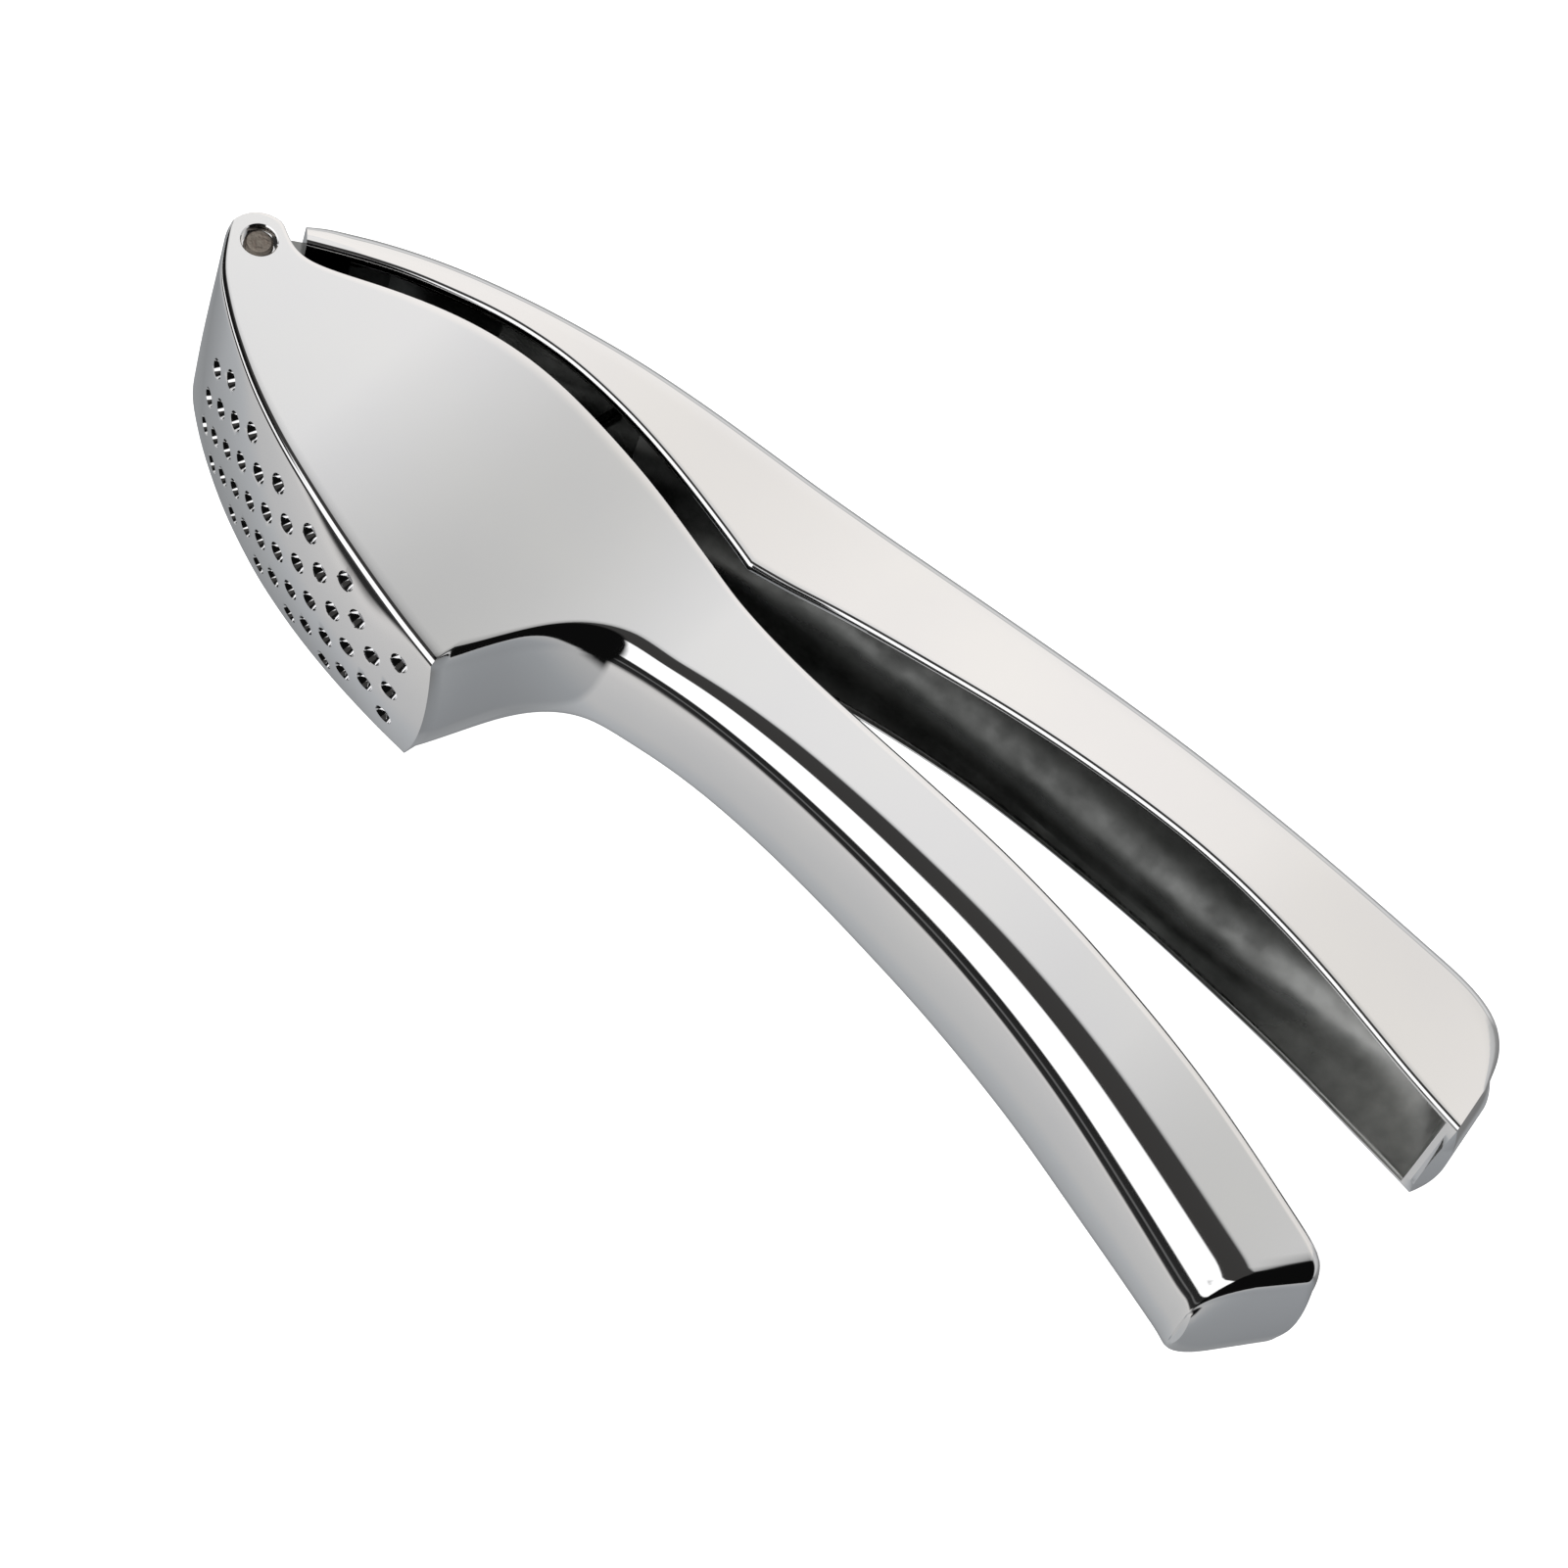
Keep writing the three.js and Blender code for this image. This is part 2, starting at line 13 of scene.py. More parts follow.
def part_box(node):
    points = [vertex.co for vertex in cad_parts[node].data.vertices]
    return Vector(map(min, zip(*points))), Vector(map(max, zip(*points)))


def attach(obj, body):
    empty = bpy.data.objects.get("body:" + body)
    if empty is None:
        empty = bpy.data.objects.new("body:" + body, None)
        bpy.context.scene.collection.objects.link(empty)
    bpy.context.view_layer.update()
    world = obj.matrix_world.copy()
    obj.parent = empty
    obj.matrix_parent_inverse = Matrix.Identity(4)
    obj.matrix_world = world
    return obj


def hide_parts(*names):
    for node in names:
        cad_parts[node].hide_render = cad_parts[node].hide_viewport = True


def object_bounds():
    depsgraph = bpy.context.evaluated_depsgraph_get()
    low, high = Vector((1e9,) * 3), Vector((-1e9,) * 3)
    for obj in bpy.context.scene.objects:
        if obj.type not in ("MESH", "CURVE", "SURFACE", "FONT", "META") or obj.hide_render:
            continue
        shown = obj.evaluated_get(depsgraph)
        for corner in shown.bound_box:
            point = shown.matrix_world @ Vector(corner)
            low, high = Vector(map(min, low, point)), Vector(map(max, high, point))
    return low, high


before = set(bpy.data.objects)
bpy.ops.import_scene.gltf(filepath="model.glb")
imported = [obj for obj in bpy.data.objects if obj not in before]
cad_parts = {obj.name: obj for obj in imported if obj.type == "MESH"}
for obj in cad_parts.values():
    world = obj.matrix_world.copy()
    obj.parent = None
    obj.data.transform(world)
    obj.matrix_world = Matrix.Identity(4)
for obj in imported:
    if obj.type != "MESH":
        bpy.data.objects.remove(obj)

cad_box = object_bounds()

# Hinge
PIN_RADIUS = 1.85
PIN_HALF_LENGTH = 15.0
EAR_RADIUS = 4.2
EAR_INNER_HALF_WIDTH = 12.2
RECESS_RADIUS = 2.25
RECESS_DEPTH = 1.3
BARREL_RADIUS = 3.9
BARREL_SPACE_RADIUS = 4.3
LEVER_BARREL = (5.0, 11.9)
PLUNGER_BARREL_HALF_WIDTH = 4.8
PIN_SEAT_GAP = 0.05
PIN_RUNNING_GAP = 0.08
FACING_MARK = 0.02

# Body casting
HOPPER_HALF_WIDTH = 15.4
HOPPER_WALL = 2.2
SIEVE_WALL = 2.2
CHAMBER_RADIUS = 57.0
SIEVE_CROWN_DEG = 15.0
FOOT_CROWN_DEG = 20.0
HANDLE_CROWN_DEG = 9.0
CORNER_BULGE = (0.153, -0.101)
SIEVE_EDGE_ROUND = 1.0
SIEVE_EDGE = [
    (-3.6, -2.2), (-0.9, -6.2), (2.3, -9.1), (7.5, -12.7), (14.3, -16.5), (22.3, -19.9),
    (30.9, -22.6), (39.1, -24.6), (47.0, -26.1), (53.4, -27.0),
]
UNDERSIDE = [
    (53.4, -27.0), (54.9, -24.2), (56.9, -19.8), (59.2, -15.2), (62.3, -11.3), (66.6, -8.6),
    (72.5, -7.3), (80.7, -6.3), (89.7, -6.1), (99.0, -6.5), (110.0, -7.5), (124.3, -9.4),
    (139.7, -12.7), (156.1, -17.6), (171.9, -22.75),
]
TOP_EDGE = [
    (0.4, 4.15), (2.0, 3.3), (3.2, 2.2), (4.7, 1.9), (9.0, 3.6), (15.8, 7.0), (23.0, 9.9),
    (31.0, 12.1), (38.5, 13.0), (47.3, 12.8), (56.4, 11.9), (66.2, 9.9), (74.3, 8.0), (84.0, 6.9),
    (97.0, 6.3), (110.0, 5.6), (122.3, 4.6), (136.6, 2.6), (153.2, -0.7), (164.6, -3.7),
    (175.0, -6.9), (179.9, -8.5), (181.0, -9.6), (181.2, -11.2),
]
HANDLE_END_CROWN = 1.0
HANDLE_END_ROUND = {"bottom": 1.2, "top": 3.0}
HANDLE_POCKET = {"start": 86, "stop": 168, "floor": 2.8, "side": 2.6, "corner": 4.5}

# Sieve holes: rows across the width on a square lattice turned by 45 degrees
HOLE_RADIUS = 1.05
COUNTERSINK = {"radius": 1.45, "depth": 1.0}
DRILL_DEPTH = 5.0
HOLE_PITCH = 6.8
FIRST_ROW_FROM_CORNER = 4.0
ROW_SPACING = 3.79
ROW_COUNTS = [3, 2, 3, 4, 3, 4, 3, 4, 3, 4, 3, 4, 3]

# Lever casting
LEVER_WALL = 1.9
LEVER_ROOF = 1.6
LEVER_TOP_ROUND = 3.5
LEVER_DRAFT = 0.045
LEVER_INNER_ROUND = 9.0
LEVER_LENGTH = 181.5
LEVER_END_WALL = 1.2
LEVER_END_CROWN = 1.5
CHANNEL_START = 9.0
CHANNEL_STOP = LEVER_LENGTH - LEVER_END_WALL
RIM_ROUND = 0.7
RIM_OVER_HOPPER = [
    (4.4, 3.9), (7.3, 5.6), (11.6, 8.0), (16.1, 10.2), (21.0, 12.1), (26.1, 13.8), (31.5, 15.1),
    (37.3, 15.95), (43.8, 16.2), (50.7, 15.9), (58.1, 15.0), (66.3, 13.5), (71.2, 12.4),
]
RIM_OVER_HANDLE = [
    (71.2, 12.4), (76.5, 13.8), (83.6, 15.9), (94.4, 18.3), (108.0, 20.6), (122.8, 21.9),
    (138.0, 22.2), (155.0, 20.9), (172.8, 18.2), (LEVER_LENGTH, 17.0),
]
LEVER_TOP = [
    (2.2, 6.4), (4.6, 9.2), (8.6, 11.9), (14.2, 14.9), (20.2, 17.5), (27.8, 20.1), (35.6, 22.4),
    (43.5, 24.5), (52.6, 26.4), (61.5, 27.9), (70.4, 29.2), (79.2, 30.5), (93.8, 32.3),
    (108.6, 33.5), (123.8, 34.2), (143.8, 34.6), (162.4, 35.2), (171.0, 35.3), (176.4, 33.9),
    (179.4, 30.5), (180.4, 26.8),
]
NECK = [
    (-1.6, 3.2), (3.2, 1.6), (4.6, 4.2), (9.5, 7.8), (13.0, 11.0), (9.5, 10.8), (4.6, 7.0),
    (1.5, 4.8),
]
LUGS = {"start": 26, "stop": 44, "drop": 9, "inner": 2.5, "outer": 5.0}

# Press plunger
CLOSING_DEG = 2.5
PLUNGER_FACE_GAP = 0.5
PLUNGER_SIDE_GAP = 0.4
PLUNGER_RADIUS = 56.5
PLATE_THICKNESS = 3.2
SPINE_HALF_WIDTH = 2.3
SPINE_TOP_GAP = 0.9

# Half-length of a cutter that goes right through
THROUGH = 20.0

# Camera, in the same frame as the shapes
CAMERA_PLACE = (198.97, -323.07, 596.02)
CAMERA_AIM = (91.77, -1.71, 0.0)
CAMERA_UP = (-0.6429, 0.6199, 0.4499)
CAMERA_LENS = 128.17

pin_low, pin_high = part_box("hinge_pin")
HINGE = (pin_low + pin_high) / 2


def to_frame(point):
    """A point in millimetres about the hinge, in metres in the CAD frame."""
    x, y, z = point
    return (HINGE.x + x / 1000, HINGE.y + y / 1000, HINGE.z + z / 1000)


# ---------------------------------------------------------------- curves

def ease(a, b, x):
    """Smooth step from 0 at a to 1 at b."""
    t = min(1.0, max(0.0, (x - a) / (b - a)))
    return t * t * (3 - 2 * t)


def body_half_width(x, y=0.0):
    """The hopper narrows to a waist, and the handle swells again under the fingers."""
    waist = 5.0 * ease(22, 74, x)
    swell = 1.9 * ease(72, 135, x) - 1.2 * ease(145, 182, x)
    return HOPPER_HALF_WIDTH - waist + swell


def lever_half_width(x, y=0.0):
    """The lever has a waist behind the hopper, swells again under the palm, and has a draft
    towards its top."""
    waist = 4.7 * ease(26, 84, x)
    swell = 2.5 * ease(88, 140, x) - 2.8 * ease(140, 184, x)
    return HOPPER_HALF_WIDTH - waist + swell - LEVER_DRAFT * max(0.0, y - 8)


def catmull_rom(points, per_span=40):
    """Dense points on a uniform Catmull-Rom curve through the given ones."""
    points = np.array(points, float)
    last = len(points) - 1
    dense = []
    for i in range(last):
        p0, p1 = points[max(0, i - 1)], points[i]
        p2, p3 = points[i + 1], points[min(last, i + 2)]
        for k in range(per_span):
            t = k / per_span
            v0, v1 = (p2 - p0) / 2, (p3 - p1) / 2
            dense.append(
                (2 * p1 - 2 * p2 + v0 + v1) * t ** 3
                + (-3 * p1 + 3 * p2 - 2 * v0 - v1) * t ** 2
                + v0 * t + p1
            )
    dense.append(points[last])
    return np.array(dense)


def distances(points):
    """Distance of each point from the first, along the run."""
    steps = np.hypot(*np.diff(points, axis=0).T)
    return np.concatenate([[0.0], np.cumsum(steps)])


def resample(points, count):
    """count + 1 points at equal distances along a run of points."""
    along = distances(points)
    wanted = np.linspace(0.0, along[-1], count + 1)
    return np.stack([np.interp(wanted, along, points[:, i]) for i in range(2)], 1)


def smooth_curve(points, count, passes=30):
    """An evenly spaced curve near the given points, with its curvature evened out."""
    curve = resample(catmull_rom(points), 600)
    for _ in range(passes * 10):
        curve[1:-1] += 0.25 * (curve[:-2] - 2 * curve[1:-1] + curve[2:])
    return resample(curve, count)


def arc(radius, from_deg, to_deg, count):
    angles = np.radians(np.linspace(from_deg, to_deg, count + 1))
    return np.stack([radius * np.cos(angles), radius * np.sin(angles)], 1)


def join_runs(*runs):
    return np.concatenate([runs[0]] + [run[1:] for run in runs[1:]])


def left_normals(points):
    tangents = np.gradient(points, axis=0)
    normals = np.stack([-tangents[:, 1], tangents[:, 0]], 1)
    return normals / np.linalg.norm(normals, axis=1)[:, None]


def offset(points, distance):
    return points + left_normals(points) * distance


def turn(points, degrees):
    c, s = math.cos(math.radians(degrees)), math.sin(math.radians(degrees))
    return points @ np.array([[c, s], [-s, c]])


def at_x(points, x):
    """Fraction of a run's length at which it first passes x."""
    along = distances(points)
    index = int(np.argmax(points[:, 0] >= x))
    return along[index] / along[-1]


def marks_at(points, places):
    """Fractions of a run's length at its start, at each of the given x values and at its end."""
    return [0.0] + [at_x(points, x) for x in places] + [1.0]


def at_fractions(points, fractions):
    along = distances(points)
    wanted = np.array(fractions) * along[-1]
    return np.stack([np.interp(wanted, along, points[:, i]) for i in range(2)], 1)


# ---------------------------------------------------------------- meshes

def rib_stations(length, lower_round, upper_round, round_cells, middle_cells, lean=0.0):
    """Distances along a rib, and how far its edges' rounding lowers the side surface there.
    The lower rounding starts at an angle of lean, to run on into a crowned wall."""
    lower = min(lower_round, length * 0.45)
    upper = min(upper_round, length * 0.9 - lower)
    stations = []
    for k in range(round_cells + 1):
        angle = lean + (math.pi / 2 - lean) * k / round_cells
        stations.append((lower * (math.cos(lean) - math.cos(angle)), lower * (1 - math.sin(angle))))
    lower = stations[-1][0]
    for k in range(1, middle_cells + 1):
        stations.append((lower + (length - lower - upper) * k / middle_cells, 0.0))
    for k in range(1, round_cells + 1):
        angle = math.pi / 2 * k / round_cells
        stations.append((length - upper * (1 - math.sin(angle)), upper * (1 - math.cos(angle))))
    return stations


def ribbed_mesh(name, lower, upper, half_width, lower_round=None, upper_round=None, crown=None,
                end_drop=None, lean=None, round_cells=1, middle_cells=4, wall_rows=1, mouth=0.0,
                flare=0.0, slot=0):
    """A closed mesh, symmetric about z = 0, with straight ribs from the lower outline to the
    upper one.  mouth extends the ribs past the lower outline, and flare widens them there."""
    lower_round = lower_round or (lambda i, x: 0.01)
    upper_round = upper_round or (lambda i, x: 0.01)
    crown = crown or (lambda along, up, half: 0.0)
    end_drop = end_drop or (lambda i, x, y: 0.0)
    lean = lean or (lambda x: 0.0)
    ribs = []
    for i, (start, stop) in enumerate(zip(lower, upper)):
        direction = stop - start
        length = float(np.hypot(*direction))
        direction = direction / length
        stations = rib_stations(
            length, lower_round(i, start[0]), upper_round(i, stop[0]), round_cells, middle_cells,
            lean(start[0]))
        if flare:
            lip = [(flare * (1 - math.cos(a)), -flare * (1 - math.sin(a)))
                   for a in np.linspace(0, math.pi / 2, 7)]
            stations = [(-mouth, -flare * 1.3), (-0.02, -flare * 1.02)] + lip[1:] + stations[round_cells + 1:]
        rib = []
        for along, drop in stations:
            x, y = start + direction * along
            rib.append((x, y, half_width(x, y) - drop - end_drop(i, x, y)))
        ribs.append(rib)
    return closed_mesh(name, ribs, crown, wall_rows, slot)


def closed_mesh(name, ribs, crown, wall_rows, slot):
    """The side surfaces over the ribs, mirrored, joined by a wall all round that is crowned
    across its width."""
    rib_count, across = len(ribs), len(ribs[0])
    verts = [p for rib in ribs for p in rib]
    near = np.arange(rib_count * across).reshape(rib_count, across)
    far = near + rib_count * across
    verts += [(x, y, -z) for x, y, z in verts]
    faces = []
    for i in range(rib_count - 1):
        for j in range(across - 1):
            faces.append((near[i, j], near[i + 1, j], near[i + 1, j + 1], near[i, j + 1]))
            faces.append((far[i, j], far[i, j + 1], far[i + 1, j + 1], far[i + 1, j]))
    last, top = rib_count - 1, across - 1
    loop = [(0, j) for j in range(top)] + [(i, top) for i in range(last)]
    loop += [(last, j) for j in range(top, 0, -1)] + [(i, 0) for i in range(last, 0, -1)]
    columns = []
    for k, (i, j) in enumerate(loop):
        before = ribs[loop[k - 1][0]][loop[k - 1][1]]
        after_i, after_j = loop[(k + 1) % len(loop)]
        after = ribs[after_i][after_j]
        x, y, z = ribs[i][j]
        outward = Vector((before[1] - after[1], after[0] - before[0])).normalized()
        column = [near[i, j]]
        for row in range(1, wall_rows):
            level = 1 - 2 * row / wall_rows
            bulge = crown(i / last, j / top, z)
            if not isinstance(bulge, tuple):
                bulge = (outward.x * bulge, outward.y * bulge)
            share = 1 - level * level
            verts.append((x + bulge[0] * share, y + bulge[1] * share, z * level))
            column.append(len(verts) - 1)
        column.append(far[i, j])
        columns.append(column)
    for k, column in enumerate(columns):
        following = columns[(k + 1) % len(columns)]
        for row in range(len(column) - 1):
            faces.append((column[row], following[row], following[row + 1], column[row + 1]))
    return new_object(name, verts, faces, slot)


def new_object(name, verts, faces, slot=0):
    mesh = bpy.data.meshes.new(name)
    mesh.from_pydata([to_frame(v) for v in verts], [], [tuple(int(i) for i in f) for f in faces])
    mesh.update()
    mesh.polygons.foreach_set("material_index", [slot] * len(mesh.polygons))
    obj = bpy.data.objects.new(name, mesh)
    bpy.context.scene.collection.objects.link(obj)
    return obj


def lathe(name, profile, sides=64, slot=0):
    """A solid of revolution about the hinge axis.  profile is (radius, z) from bottom to top."""
    verts = [(0.0, 0.0, profile[0][1])]
    for radius, z in profile:
        for k in range(sides):
            angle = 2 * math.pi * k / sides
            verts.append((radius * math.cos(angle), radius * math.sin(angle), z))
    verts.append((0.0, 0.0, profile[-1][1]))
    faces = []
    for k in range(sides):
        following = (k + 1) % sides
        faces.append((0, 1 + following, 1 + k))
        for ring in range(len(profile) - 1):
            a, b = 1 + ring * sides + k, 1 + ring * sides + following
            faces.append((a, b, b + sides, a + sides))
        top = 1 + (len(profile) - 1) * sides
        faces.append((top + k, top + following, len(verts) - 1))
    return new_object(name, verts, faces, slot)


def through(name, radius, sides=64, slot=0):
    """A cylinder about the hinge axis, longer than the press is wide."""
    return lathe(name, [(radius, -THROUGH), (radius, THROUGH)], sides, slot)


def slab(name, outline, low, high, slot=0):
    """A flat shape in the plane of the handles, drawn anticlockwise, between two heights."""
    count = len(outline)
    verts = [(x, y, low) for x, y in outline] + [(x, y, high) for x, y in outline]
    faces = [tuple(reversed(range(count))), tuple(range(count, 2 * count))]
    for k in range(count):
        following = (k + 1) % count
        faces.append((k, following, following + count, k + count))
    return new_object(name, verts, faces, slot)


def combine(target, cutter, operation):
    """Applies a boolean to target and removes the cutter."""
    modifier = target.modifiers.new(operation, "BOOLEAN")
    modifier.operation = operation
    modifier.object = cutter
    modifier.solver = "MANIFOLD"
    depsgraph = bpy.context.evaluated_depsgraph_get()
    result = bpy.data.meshes.new_from_object(target.evaluated_get(depsgraph))
    target.modifiers.clear()
    target.data = result
    bpy.data.objects.remove(cutter)
    return target


def merge(name, objects):
    """One object holding the meshes of several."""
    verts, faces, slots = [], [], []
    for obj in objects:
        base = len(verts)
        verts += [tuple(v.co) for v in obj.data.vertices]
        for polygon in obj.data.polygons:
            faces.append(tuple(base + i for i in polygon.vertices))
            slots.append(polygon.material_index)
        bpy.data.objects.remove(obj)
    mesh = bpy.data.meshes.new(name)
    mesh.from_pydata(verts, [], faces)
    mesh.update()
    mesh.polygons.foreach_set("material_index", slots)
    merged = bpy.data.objects.new(name, mesh)
    bpy.context.scene.collection.objects.link(merged)
    return merged


def finish_piece(obj, materials, body, node, sharp_deg=32):
    """Gives a piece its materials and smooth shading, puts it under its body's empty and hides
    the CAD part that it stands for.
    """
    slots = [polygon.material_index for polygon in obj.data.polygons]
    obj.data.materials.clear()
    for material in materials:
        obj.data.materials.append(material)
    obj.data.polygons.foreach_set("material_index", slots)
    obj.data.shade_smooth()
    obj.data.set_sharp_from_angle(angle=math.radians(sharp_deg))
    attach(obj, body)
    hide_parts(node)


# ---------------------------------------------------------------- body casting

sieve_line = smooth_curve(SIEVE_EDGE, 600, passes=6)


def body_outline():
    """Lower and upper ends of the body's ribs, matched so that the ribs never cross, and set
    closer together where the handle rounds over into its end face."""
    lower = join_runs(arc(EAR_RADIUS, 188, 211.8, 6), sieve_line, smooth_curve(UNDERSIDE, 600, passes=12))
    upper = join_runs(arc(EAR_RADIUS, 172, 86, 20), smooth_curve(TOP_EDGE, 900, passes=12))
    lower_marks = marks_at(lower, (-0.9, 7.5, 30.9, 53.35, 62.3, 89.7))
    upper_marks = marks_at(upper, (0.4, 7.0, 31.0, 52.0, 68.0, 91.0))
    spread = np.linspace(0, 1, 231)
    corner = np.argmin(abs(spread - lower_marks[4]))
    spread[corner] = lower_marks[4]
    from_end = [0.0125, 0.010, 0.008, 0.0062, 0.0045, 0.003, 0.0018, 0.0009, 0.0003, 0.0]
    ends = 1 - np.array(from_end)
    spread = np.concatenate([spread[spread < ends[0] - 0.001], ends])
    return at_fractions(lower, spread), at_fractions(upper, np.interp(spread, lower_marks, upper_marks))


def underside_round(x):
    """Radius of the lower edge: small along the sieve, large round the foot of the hopper, and
    growing slowly along the handle."""
    if x < 53.45:
        return SIEVE_EDGE_ROUND
    foot = 1.4 * (1 - ease(60, 74, x))
    return 1.7 + 0.122 * min(x - 53.5, 13.1) + 0.0405 * max(0.0, x - 66.6) + foot


def crown_angle(x):
    """Slope of the crowned wall at its edges: steepest at the foot of the hopper."""
    if x < 53.45:
        share = ease(8, 36, x) * (1 - ease(40, 53.4, x))
        return math.radians(HANDLE_CROWN_DEG + (SIEVE_CROWN_DEG - HANDLE_CROWN_DEG) * share)
    return math.radians(FOOT_CROWN_DEG + (HANDLE_CROWN_DEG - FOOT_CROWN_DEG) * ease(53.5, 68, x))


def top_edge_round(x):
    return 0.4 + 0.8 * ease(66, 100, x)


def handle_end_drop(x, y):
    """The side surfaces round over into the end face of the lower handle."""
    a = np.array(UNDERSIDE[-1])
    b = np.array(TOP_EDGE[-1]) + (0.25, 0.4)
    length = np.linalg.norm(b - a)
    along = (b - a) / length
    depth = float(np.dot(np.array([x, y]) - a, (-along[1], along[0])))
    share = min(1.0, max(0.0, float(np.dot(np.array([x, y]) - a, along)) / length))
    bottom, top = HANDLE_END_ROUND["bottom"], HANDLE_END_ROUND["top"]
    radius = bottom + (top - bottom) * share
    inside = max(0.0, 1 - depth / radius)
    return radius * (1 - math.sqrt(max(0.0, 1 - inside * inside)))


def body_shell():
    lower, upper = body_outline()
    last = len(lower) - 1
    corner = int(np.argmin(np.hypot(*(lower - np.array(SIEVE_EDGE[-1])).T)))

    def crown(along, up, half):
        """Height of the wall's middle above its edges: on the end face, and on the sieve and
        the underside, where it grows from nothing at the ears."""
        if along == 1:
            return HANDLE_END_CROWN if 0 < up < 1 else 0.0
        if up > 0:
            return 0.0
        leaning = crown_angle(lower[round(along * last)][0])
        return half * math.tan(leaning / 2) * ease(0.03, 0.25, along * last / corner)

    def bulge(along, up, half):
        """Displacement of the middle of the wall: at the sieve's corner, where both of its
        faces' crowns meet; elsewhere along the wall's own normal."""
        if up == 0 and round(along * last) == corner:
            return (CORNER_BULGE[0] * half, CORNER_BULGE[1] * half)
        return crown(along, up, half)

    return ribbed_mesh(
        "body_casting_fine", lower, upper, body_half_width,
        lower_round=lambda i, x: underside_round(x),
        upper_round=lambda i, x: top_edge_round(x),
        crown=bulge,
        end_drop=lambda i, x, y: handle_end_drop(x, y) if i > last - 12 else 0.0,
        lean=crown_angle, round_cells=9, middle_cells=26, wall_rows=24)


def chamber():
    """The hollow of the hopper, closed at the front by an arc about the hinge."""
    floor = resample(offset(smooth_curve(SIEVE_EDGE[1:] + [(60.0, -28.0)], 80, passes=6), SIEVE_WALL), 80)
    share = np.linspace(0, 1, len(floor))
    ceiling = np.stack([6 + 62 * share, 7 + 12 * np.sin(math.pi * share)], 1)
    space = ribbed_mesh(
        "chamber", floor, ceiling, lambda x, y: body_half_width(x, y) - HOPPER_WALL,
        middle_cells=12, slot=1)
    return combine(space, through("chamber_arc", CHAMBER_RADIUS, 192, slot=1), "INTERSECT")


def handle_pocket():
    """The coring of the lower handle, open at its top."""
    underside = smooth_curve(UNDERSIDE, 200, passes=12)
    kept = underside[(underside[:, 0] > HANDLE_POCKET["start"]) & (underside[:, 0] < HANDLE_POCKET["stop"])]
    lower = offset(kept, HANDLE_POCKET["floor"])
    return ribbed_mesh(
        "pocket", lower, lower + np.array([5.0, 20.0]),
        lambda x, y: body_half_width(x) - HANDLE_POCKET["side"],
        lower_round=lambda i, x: HANDLE_POCKET["corner"], round_cells=6, middle_cells=2, slot=1)


def sieve_drills():
    """One cutter per hole, each with a countersink at the outer face."""
    along = distances(sieve_line)
    first = along[-1] - FIRST_ROW_FROM_CORNER
    normals = left_normals(sieve_line)
    drills = []
    for row, count in enumerate(ROW_COUNTS):
        index = int(np.argmin(abs(along - (first - row * ROW_SPACING))))
        centre, inward = sieve_line[index], normals[index]
        for k in range(count):
            z = (k - (count - 1) / 2) * HOLE_PITCH
            half = body_half_width(centre[0])
            bulge = half * math.tan(crown_angle(centre[0]) / 2) * (1 - (z / half) ** 2)
            drills.append(drill(centre - inward * bulge, z, inward))
    return merge("drills", drills)


def drill(centre, z, inward, sides=28):
    """A cutter with a countersink.  Its straight walls take the third material, the rest the
    first."""
    wide, deep = COUNTERSINK["radius"], COUNTERSINK["depth"]
    profile = [
        (HOLE_RADIUS, DRILL_DEPTH), (HOLE_RADIUS, deep + 0.06), (HOLE_RADIUS + 0.03, deep),
        (wide - 0.03, 0.03), (wide + 0.1, -0.05), (wide + 0.4, -2.0),
    ]
    verts, faces = [], []
    for radius, depth in profile:
        for k in range(sides):
            angle = 2 * math.pi * k / sides
            sideways = radius * math.cos(angle)
            verts.append((
                centre[0] + inward[0] * depth - inward[1] * sideways,
                centre[1] + inward[1] * depth + inward[0] * sideways,
                z + radius * math.sin(angle)))
    faces.append(tuple(range(sides)))
    rings = len(profile)
    for ring in range(rings - 1):
        for k in range(sides):
            following = (k + 1) % sides
            a, b = ring * sides + k, ring * sides + following
            faces.append((a, a + sides, b + sides, b))
    faces.append(tuple(reversed(range((rings - 1) * sides, rings * sides))))
    made = new_object("drill", verts, faces)
    made.data.polygons.foreach_set("material_index", [2] * (sides + 1) + [0] * (len(faces) - sides - 1))
    return made


def ear_cuts():
    """Cutters for the space between the ears, the pin's seat and its two recesses."""
    half = HOPPER_HALF_WIDTH
    recess = [(RECESS_RADIUS, half - RECESS_DEPTH), (RECESS_RADIUS, half - 0.15),
              (RECESS_RADIUS + 0.3, half + 0.15), (RECESS_RADIUS + 0.3, half + 2)]
    low_recess = [(r, -z) for r, z in reversed(recess)]
    barrel_space = [(BARREL_SPACE_RADIUS, -EAR_INNER_HALF_WIDTH), (BARREL_SPACE_RADIUS, EAR_INNER_HALF_WIDTH)]
    neck_space = [(-8, -2), (4, -2), (12, 3), (12, 12), (-8, 12)]
    return [
        lathe("barrel_space", barrel_space, slot=1),
        slab("neck_space", neck_space, -EAR_INNER_HALF_WIDTH, EAR_INNER_HALF_WIDTH, slot=1),
        through("seat", PIN_RADIUS + PIN_SEAT_GAP),
        lathe("recess_near", recess),
        lathe("recess_far", low_recess),
    ]


def make_body_casting():
    body = body_shell()
    for cutter in [chamber(), handle_pocket(), sieve_drills()] + ear_cuts():
        combine(body, cutter, "DIFFERENCE")
    return body


# ---------------------------------------------------------------- lever casting

